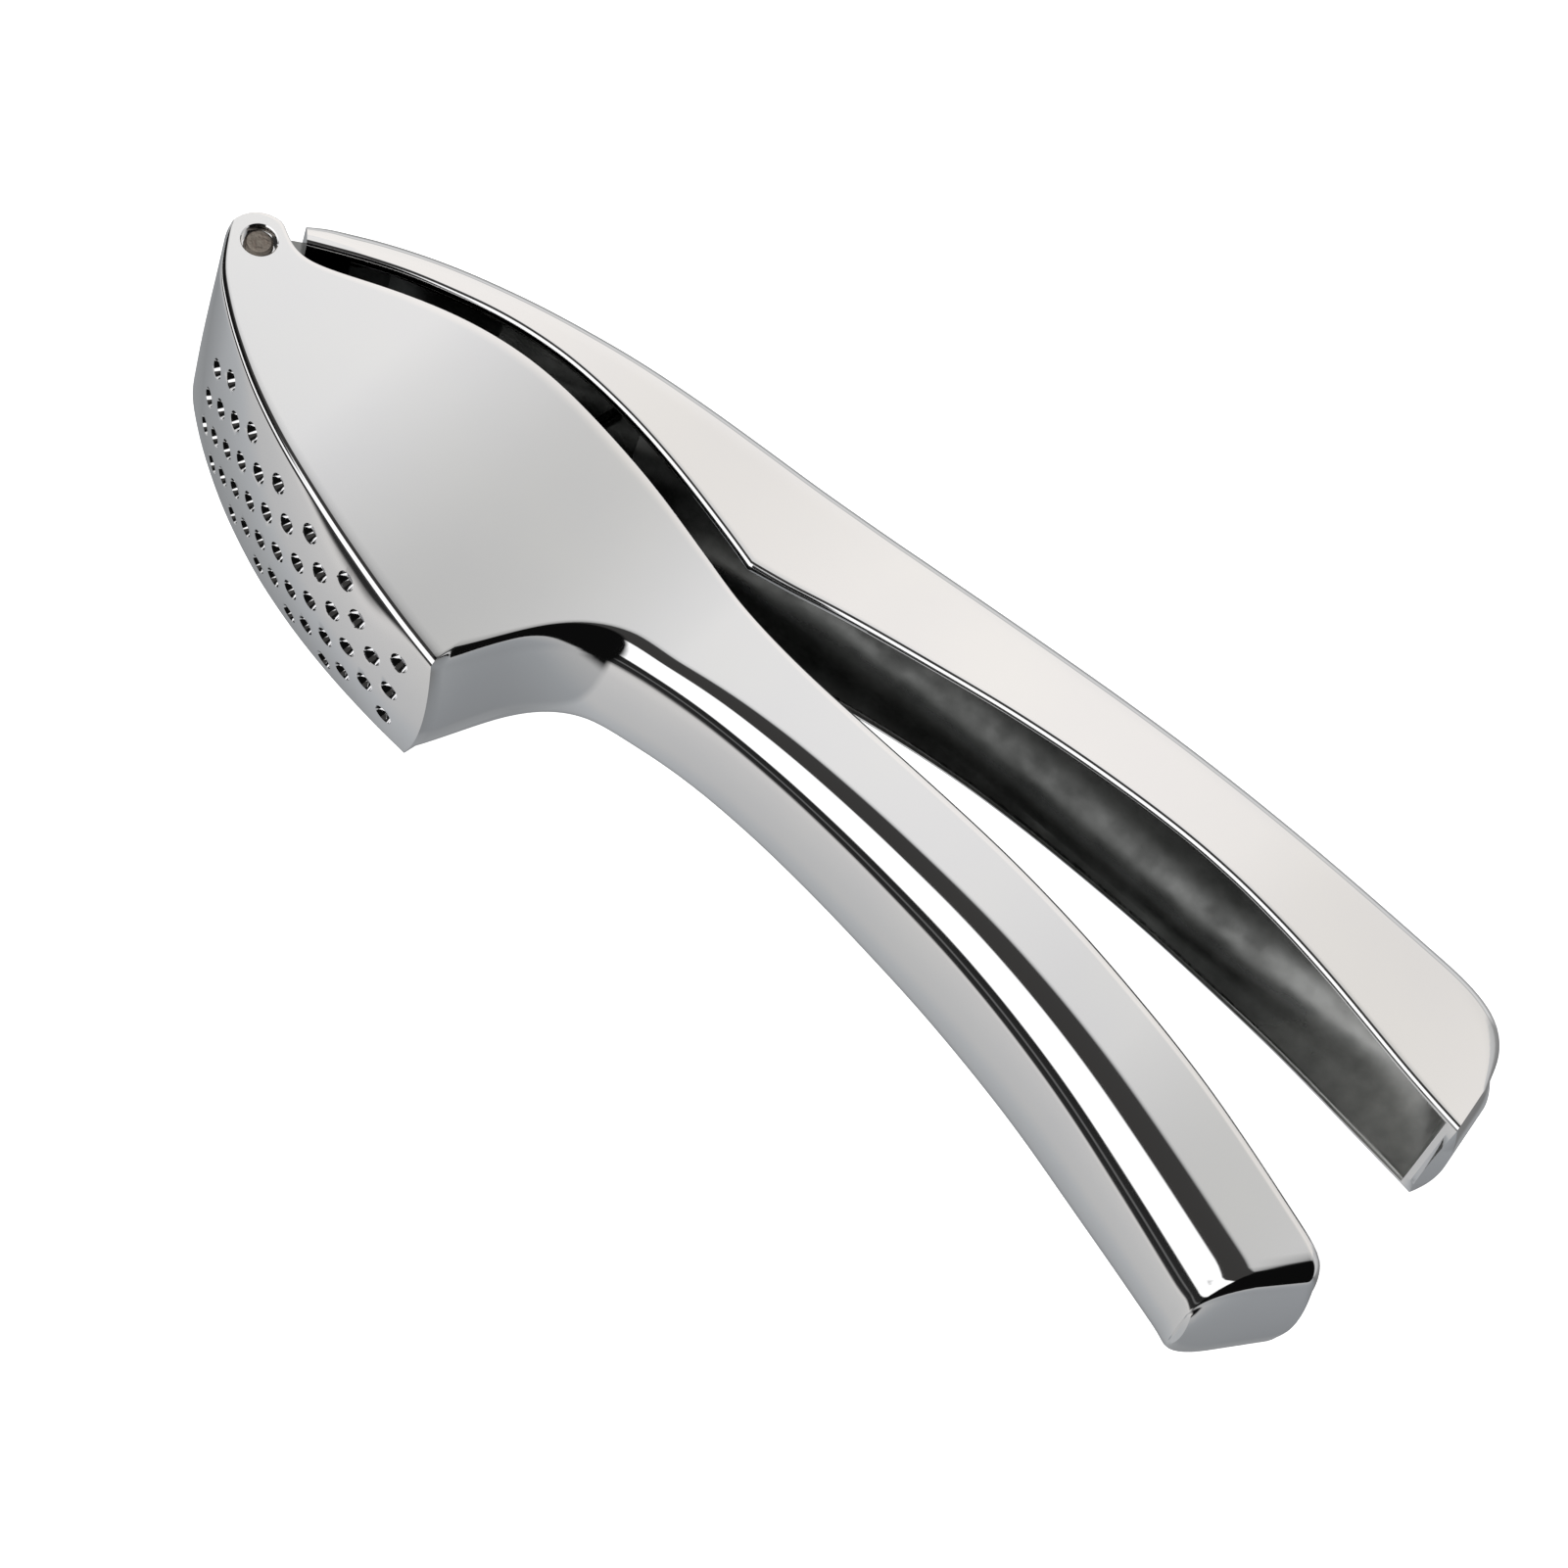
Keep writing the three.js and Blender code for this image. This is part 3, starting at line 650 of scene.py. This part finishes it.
def lever_outline(count=220):
    """Lower and upper ends of the lever's ribs, with one rib at the kink in the rim."""
    over_hopper = smooth_curve(RIM_OVER_HOPPER, 400, passes=8)
    over_handle = smooth_curve(RIM_OVER_HANDLE, 600, passes=8)
    rim = join_runs(over_hopper, over_handle)
    top = smooth_curve(LEVER_TOP, 900, passes=6)
    rim_marks = marks_at(rim, (16.1, 43.8, 71.2, 108.0, 155.0))
    top_marks = marks_at(top, (13.0, 40.5, 69.5, 107.0, 154.0))
    spread = np.linspace(0, 1, count + 1)
    kink = np.argmin(abs(spread - rim_marks[3]))
    spread[kink] = rim_marks[3]
    return at_fractions(rim, spread), at_fractions(top, np.interp(spread, rim_marks, top_marks))


def lever_shell(rim, top):
    return ribbed_mesh(
        "lever_casting_fine", rim, top, lever_half_width,
        lower_round=lambda i, x: RIM_ROUND,
        upper_round=lambda i, x: LEVER_TOP_ROUND * ease(0, 10, x + 3),
        crown=lambda along, up, half: LEVER_END_CROWN if along == 1 and up < 1 else 0.0,
        round_cells=8, middle_cells=16, wall_rows=20)


def lever_channel(rim, top):
    """The hollow under the lever, with a rounded lip inside the rim."""
    roof = offset(top, -LEVER_ROOF)
    inside = [i for i in range(len(rim)) if CHANNEL_START < rim[i][0] < CHANNEL_STOP]
    lower, upper = rim[inside], roof[inside]
    return ribbed_mesh(
        "channel", lower, upper, lambda x, y: lever_half_width(x) - LEVER_WALL,
        upper_round=lambda i, x: LEVER_INNER_ROUND * ease(5, 30, x),
        round_cells=8, middle_cells=10, mouth=3.0, flare=0.6, slot=1)


def roof_height(x):
    roof = offset(smooth_curve(LEVER_TOP, 300, passes=6), -LEVER_ROOF)
    return float(roof[int(np.argmax(roof[:, 0] >= x))][1])


def lever_hinge_parts():
    inner, outer = LEVER_BARREL
    start, stop = LUGS["start"], LUGS["stop"]
    lug = [(start, roof_height(start) + 1), (start + 3, roof_height(start + 3) - LUGS["drop"]),
           (stop - 2, roof_height(stop - 2) - LUGS["drop"]), (stop, roof_height(stop) + 1)]
    parts = []
    for low, high in ((inner, outer), (-outer, -inner)):
        parts.append(lathe("barrel", [(BARREL_RADIUS, low), (BARREL_RADIUS, high)], slot=1))
        parts.append(slab("neck", NECK, low, high, slot=1))
    for low, high in ((LUGS["inner"], LUGS["outer"]), (-LUGS["outer"], -LUGS["inner"])):
        parts.append(slab("lug", lug, low, high, slot=1))
    return parts


def make_lever_casting():
    rim, top = lever_outline()
    lever = combine(lever_shell(rim, top), lever_channel(rim, top), "DIFFERENCE")
    for part in lever_hinge_parts():
        combine(lever, part, "UNION")
    return combine(lever, through("bore", PIN_RADIUS + PIN_RUNNING_GAP, slot=1), "DIFFERENCE")


# ---------------------------------------------------------------- plunger and pin

def make_press_plunger():
    base = smooth_curve(SIEVE_EDGE[2:] + [(60.0, -28.0)], 70, passes=6)
    face = turn(offset(base, SIEVE_WALL + PLUNGER_FACE_GAP), CLOSING_DEG)
    plate = ribbed_mesh(
        "press_plunger_fine", face, offset(face, PLATE_THICKNESS),
        lambda x, y: body_half_width(math.hypot(x, y)) - HOPPER_WALL - PLUNGER_SIDE_GAP,
        lower_round=lambda i, x: 0.3, upper_round=lambda i, x: 0.6, round_cells=3, middle_cells=2)
    combine(plate, through("plate_arc", PLUNGER_RADIUS, 192), "INTERSECT")
    back = [(x, roof_height(x) - SPINE_TOP_GAP) for x in (47, 42, 36, 31, 26, 21, 17)]
    inner_face = offset(face, PLATE_THICKNESS - 1)[::4]
    front = [tuple(p) for p in inner_face if math.hypot(*p) < PLUNGER_RADIUS - 3]
    outline = front + [(53, 2), (50, 16)] + back + [(14.5, 6.5), (5, 1), (3.5, -1)]
    combine(plate, slab("spine", outline, -SPINE_HALF_WIDTH, SPINE_HALF_WIDTH), "UNION")
    half = PLUNGER_BARREL_HALF_WIDTH
    combine(plate, lathe("barrel", [(BARREL_RADIUS, -half), (BARREL_RADIUS, half)]), "UNION")
    return combine(plate, through("bore", PIN_RADIUS + PIN_RUNNING_GAP), "DIFFERENCE")


def make_hinge_pin():
    half, chamfer = PIN_HALF_LENGTH, 0.3
    profile = [(PIN_RADIUS * k / 6, -half + FACING_MARK * math.sin(k * 2.1)) for k in range(1, 6)]
    profile += [(PIN_RADIUS - chamfer, -half), (PIN_RADIUS, -half + chamfer), (PIN_RADIUS, half - chamfer)]
    profile += [(PIN_RADIUS - chamfer, half)]
    profile += [(PIN_RADIUS * k / 6, half - FACING_MARK * math.sin(k * 2.1)) for k in range(5, 0, -1)]
    return lathe("hinge_pin_fine", profile)


# ---------------------------------------------------------------- materials

def map_range(tree, value, source, target):
    """A linear map of a value from one (low, high) range to another, clamped."""
    made = tree.nodes.new("ShaderNodeMapRange")
    made.inputs["From Min"].default_value, made.inputs["From Max"].default_value = source
    made.inputs["To Min"].default_value, made.inputs["To Max"].default_value = target
    tree.links.new(value, made.inputs["Value"])
    return made.outputs["Result"]


def math_node(tree, operation, *values):
    """A maths node whose inputs are sockets or plain numbers."""
    made = tree.nodes.new("ShaderNodeMath")
    made.operation = operation
    for socket, value in zip(made.inputs, values):
        if isinstance(value, float):
            socket.default_value = value
        else:
            tree.links.new(value, socket)
    return made.outputs["Value"]


def mix_colors(tree, kind, share, first, second):
    mix = tree.nodes.new("ShaderNodeMixRGB")
    mix.blend_type = kind
    tree.links.new(share, mix.inputs["Fac"])
    tree.links.new(first, mix.inputs["Color1"])
    tree.links.new(second, mix.inputs["Color2"])
    return mix.outputs["Color"]


def metal(name, color, rough_low, rough_high, scale, bump, tint=None):
    """Plated or bare metal whose roughness and surface vary with a fine noise."""
    material = bpy.data.materials.new(name)
    material.use_nodes = True
    tree = material.node_tree
    shader = tree.nodes["Principled BSDF"]
    shader.inputs["Metallic"].default_value = 1.0
    place = tree.nodes.new("ShaderNodeTexCoord")
    noise = tree.nodes.new("ShaderNodeTexNoise")
    noise.inputs["Scale"].default_value = scale
    noise.inputs["Detail"].default_value = 5.0
    tree.links.new(place.outputs["Object"], noise.inputs["Vector"])
    rough = map_range(tree, noise.outputs["Fac"], (0.3, 0.7), (rough_low, rough_high))
    tree.links.new(rough, shader.inputs["Roughness"])
    ramp = tree.nodes.new("ShaderNodeValToRGB")
    ramp.color_ramp.elements[0].position = 0.35
    ramp.color_ramp.elements[1].position = 0.65
    ramp.color_ramp.elements[0].color = (*(tint or color), 1)
    ramp.color_ramp.elements[1].color = (*color, 1)
    tree.links.new(noise.outputs["Fac"], ramp.inputs["Fac"])
    tree.links.new(ramp.outputs["Color"], shader.inputs["Base Color"])
    relief = tree.nodes.new("ShaderNodeBump")
    relief.inputs["Strength"].default_value = bump
    relief.inputs["Distance"].default_value = 0.0002
    tree.links.new(noise.outputs["Fac"], relief.inputs["Height"])
    tree.links.new(relief.outputs["Normal"], shader.inputs["Normal"])
    return material


def matte_recesses_painted_highlight(material):
    """Thin plating: the roof of the lever's channel and its far end are rougher than the walls
    and blotchy. The far end is also painted paler, in blotches: a painted highlight."""
    tree = material.node_tree
    shader = tree.nodes["Principled BSDF"]
    smooth = shader.inputs["Roughness"].links[0].from_socket
    place = tree.nodes.new("ShaderNodeTexCoord")
    facing = tree.nodes.new("ShaderNodeSeparateXYZ")
    tree.links.new(place.outputs["Normal"], facing.inputs["Vector"])
    roof = map_range(tree, facing.outputs["Y"], (-0.15, -0.6), (0.0, 1.0))
    where = tree.nodes.new("ShaderNodeSeparateXYZ")
    tree.links.new(place.outputs["Object"], where.inputs["Vector"])
    end = map_range(tree, where.outputs["X"], (0.055, 0.085), (0.0, 1.0))
    blotches = tree.nodes.new("ShaderNodeTexNoise")
    blotches.inputs["Scale"].default_value = 160.0
    blotches.inputs["Detail"].default_value = 6.0
    tree.links.new(place.outputs["Object"], blotches.inputs["Vector"])
    matte = map_range(tree, blotches.outputs["Fac"], (0.35, 0.65), (0.34, 0.6))
    mix = tree.nodes.new("ShaderNodeMix")
    tree.links.new(math_node(tree, "MAXIMUM", roof, end), mix.inputs["Factor"])
    tree.links.new(smooth, mix.inputs["A"])
    tree.links.new(matte, mix.inputs["B"])
    tree.links.new(mix.outputs["Result"], shader.inputs["Roughness"])
    plain = shader.inputs["Base Color"].links[0].from_socket
    # Painted highlight: the far end is painted pale, in blotches, standing in for the light it catches.
    pale = tree.nodes.new("ShaderNodeValToRGB")
    pale.color_ramp.elements[0].position = 0.35
    pale.color_ramp.elements[1].position = 0.7
    pale.color_ramp.elements[0].color = (0.55, 0.56, 0.55, 1)
    pale.color_ramp.elements[1].color = (0.95, 0.95, 0.93, 1)
    tree.links.new(blotches.outputs["Fac"], pale.inputs["Fac"])
    color = mix_colors(tree, "MIX", end, plain, pale.outputs["Color"])
    tree.links.new(color, shader.inputs["Base Color"])
    return material


chrome = metal("polished_chrome", (0.9, 0.9, 0.9), 0.04, 0.09, 60, 0.01, tint=(0.88, 0.88, 0.89))
# Metal of the hollows, hinge parts and plunger. Its dark base colour is painted shade, standing in for the
# shade inside the channel, chamber and pocket. Its higher roughness and relief are the rough cast finish.
recess_chrome_painted_shade = matte_recesses_painted_highlight(
    metal("recess_chrome_with_painted_shade", (0.3, 0.305, 0.3), 0.12, 0.2, 260, 0.1, tint=(0.22, 0.225, 0.22)))
drilled_chrome = metal("chrome_in_holes", (0.95, 0.95, 0.96), 0.45, 0.65, 900, 0.2, tint=(0.85, 0.85, 0.88))
pin_steel = metal("pin_steel", (0.44, 0.40, 0.35), 0.35, 0.6, 1400, 0.6, tint=(0.27, 0.23, 0.2))


# ---------------------------------------------------------------- studio

def curve_ramp(tree, value, low, high, stops):
    """A colour ramp over a range of values.  stops is (value, colour)."""
    share = tree.nodes.new("ShaderNodeMapRange")
    share.inputs["From Min"].default_value = low
    share.inputs["From Max"].default_value = high
    tree.links.new(value, share.inputs["Value"])
    ramp = tree.nodes.new("ShaderNodeValToRGB")
    elements = ramp.color_ramp.elements
    for _ in stops[2:]:
        elements.new(0.5)
    for element, (place, color) in zip(elements, stops):
        element.position = (place - low) / (high - low)
        element.color = (*color, 1)
    tree.links.new(share.outputs["Result"], ramp.inputs["Fac"])
    return ramp.outputs["Color"]


def grey(level, warm=0.0):
    """Linear colour for an 8-bit grey, a little warmer or cooler."""
    linear = (level / 255) ** 2.2
    return (linear * (1 + warm), linear, linear * (1 - warm))


# Tones round the x axis, by the angle in degrees from straight up (0) towards the front (90)
SOFTBOX = (1.2, 1.2, 1.2)
WEAK_SOFTBOX = (1.1, 1.1, 1.1)
TABLE = [
    (-180, grey(158, -0.03)), (-166, grey(142, -0.03)), (-150, grey(152, -0.03)),
    (-122, grey(152)), (-104, grey(215)), (-96, grey(220)),
]
TABLE_FRONT = [
    (134, grey(212, 0.02)), (139, grey(200, 0.01)), (150, grey(192)), (158, grey(188)),
    (165, grey(178, -0.03)), (180, grey(158, -0.03)),
]
MIDDLE_TONES = TABLE + [
    (-88, grey(180)), (-84, grey(246, 0.03)), (-33, grey(250, 0.035)), (-29, grey(241, 0.005)),
    (-24, grey(212)), (-20, grey(62, 0.02)), (24, grey(60, 0.04)), (27, SOFTBOX), (90, SOFTBOX),
    (93, grey(40)), (110, grey(45)), (114, grey(110)), (118, grey(40)), (130, grey(50)),
] + TABLE_FRONT
LEFT_TONES = TABLE + [
    (-88, grey(180)), (-84, grey(240)), (-24, grey(205)), (-20, grey(30)), (56, grey(24)),
    (60, WEAK_SOFTBOX), (90, WEAK_SOFTBOX), (93, grey(40)), (130, grey(50)),
] + TABLE_FRONT
RIGHT_TONES = [
    (-180, grey(146, -0.04)), (-167, grey(138, -0.04)), (-145, grey(120)), (-96, grey(150)),
    (-84, grey(185)), (-40, grey(205)), (-28, grey(175)), (-21, grey(20)), (135, grey(20)),
    (140, grey(176)), (158, grey(160, -0.03)), (165, grey(154, -0.04)), (180, grey(146, -0.04)),
]

# By the x part of the direction, from the far left (-1) to the far right (1)
FALLOFF = [
    (-0.6, (1, 1, 1)), (-0.3, (0.99, 0.99, 0.99)), (-0.2, (0.94, 0.94, 0.94)),
    (-0.1, (0.87, 0.87, 0.87)), (-0.02, (0.79, 0.79, 0.785)), (0.03, (0.72, 0.72, 0.71)),
    (0.12, (0.65, 0.65, 0.64)), (0.6, (0.6, 0.6, 0.6)),
]
BLACK, HALF, WHITE = (0, 0, 0), (0.5, 0.5, 0.5), (1, 1, 1)
RIGHT_SHARE = [(-1.0, BLACK), (0.19, BLACK), (0.27, WHITE), (1.0, WHITE)]
LEFT_SHARE = [(-1.0, WHITE), (-0.6, WHITE), (-0.5, BLACK), (1.0, BLACK)]
FALLOFF_SHARE = [
    (-180, BLACK), (-90, BLACK), (-86, HALF), (-34, HALF), (-30.5, WHITE), (-24, WHITE),
    (-18, BLACK), (180, BLACK),
]


def studio_color(tree):
    """The tones that the metal reflects.  Behind, the light falls off from left to right."""
    place = tree.nodes.new("ShaderNodeTexCoord")
    direction = tree.nodes.new("ShaderNodeSeparateXYZ")
    tree.links.new(place.outputs["Generated"], direction.inputs["Vector"])
    across = direction.outputs["X"]
    front = math_node(tree, "MULTIPLY", direction.outputs["Y"], -1.0)
    angle = math_node(tree, "ARCTAN2", front, direction.outputs["Z"])
    degrees = math_node(tree, "DEGREES", angle)
    middle = curve_ramp(tree, degrees, -180, 180, MIDDLE_TONES)
    right = curve_ramp(tree, degrees, -180, 180, RIGHT_TONES)
    left = curve_ramp(tree, degrees, -180, 180, LEFT_TONES)
    falloff = curve_ramp(tree, across, -0.6, 0.6, FALLOFF)
    near_right = curve_ramp(tree, across, -1.0, 1.0, RIGHT_SHARE)
    far_left = curve_ramp(tree, across, -1.0, 1.0, LEFT_SHARE)
    behind = curve_ramp(tree, degrees, -180, 180, FALLOFF_SHARE)
    middle = mix_colors(tree, "MIX", far_left, middle, left)
    shaded = mix_colors(tree, "MULTIPLY", behind, middle, falloff)
    return mix_colors(tree, "MIX", near_right, shaded, right)


def make_world():
    """A studio seen only in reflections: light grey behind, a dark ceiling, a large softbox in
    front and a pale table below.  To the right there is no softbox, and to the far left it is
    smaller.  Its tones were set to suit the reference view.  The camera sees plain white."""
    world = bpy.data.worlds.new("studio")
    bpy.context.scene.world = world
    world.use_nodes = True
    tree = world.node_tree
    tree.nodes.clear()
    studio = tree.nodes.new("ShaderNodeBackground")
    tree.links.new(studio_color(tree), studio.inputs["Color"])
    backdrop = tree.nodes.new("ShaderNodeBackground")
    backdrop.inputs["Color"].default_value = (1, 1, 1, 1)
    path = tree.nodes.new("ShaderNodeLightPath")
    mix = tree.nodes.new("ShaderNodeMixShader")
    tree.links.new(path.outputs["Is Camera Ray"], mix.inputs["Fac"])
    tree.links.new(studio.outputs["Background"], mix.inputs[1])
    tree.links.new(backdrop.outputs["Background"], mix.inputs[2])
    output = tree.nodes.new("ShaderNodeOutputWorld")
    tree.links.new(mix.outputs["Shader"], output.inputs["Surface"])


def make_floor():
    """A white floor that glows evenly, and is left out of reflections and shadows."""
    half = 1.2
    mesh = bpy.data.meshes.new("floor")
    corners = [(-half, -half, 0), (half, -half, 0), (half, half, 0), (-half, half, 0)]
    mesh.from_pydata(corners, [], [(0, 1, 2, 3)])
    floor = bpy.data.objects.new("floor", mesh)
    bpy.context.scene.collection.objects.link(floor)
    floor.location.z = cad_box[0][2] - 0.0002
    material = bpy.data.materials.new("floor_white")
    material.use_nodes = True
    shader = material.node_tree.nodes["Principled BSDF"]
    shader.inputs["Base Color"].default_value = (1, 1, 1, 1)
    shader.inputs["Roughness"].default_value = 0.9
    shader.inputs["Emission Color"].default_value = (1, 1, 1, 1)
    shader.inputs["Emission Strength"].default_value = 1.0
    mesh.materials.append(material)
    floor.visible_glossy = False
    floor.visible_shadow = False


def make_camera():
    camera = bpy.data.objects.new("camera", bpy.data.cameras.new("camera"))
    bpy.context.scene.collection.objects.link(camera)
    place, aim = Vector(to_frame(CAMERA_PLACE)), Vector(to_frame(CAMERA_AIM))
    back = (place - aim).normalized()
    right = Vector(CAMERA_UP).cross(back).normalized()
    up = back.cross(right)
    camera.matrix_world = Matrix.Translation(place) @ Matrix((right, up, back)).transposed().to_4x4()
    camera.data.lens = CAMERA_LENS
    camera.data.sensor_width = 36.0
    camera.data.clip_start = 0.01
    bpy.context.scene.camera = camera


# ---------------------------------------------------------------- scene

make_camera()
make_world()
make_floor()
finish_piece(make_body_casting(), [chrome, recess_chrome_painted_shade, drilled_chrome], "body", "body_casting")
finish_piece(make_lever_casting(), [chrome, recess_chrome_painted_shade], "lever", "lever_casting")
finish_piece(make_press_plunger(), [recess_chrome_painted_shade, recess_chrome_painted_shade], "lever", "press_plunger")
finish_piece(make_hinge_pin(), [pin_steel, pin_steel], "body", "hinge_pin")
bpy.context.scene.view_settings.view_transform = "Standard"
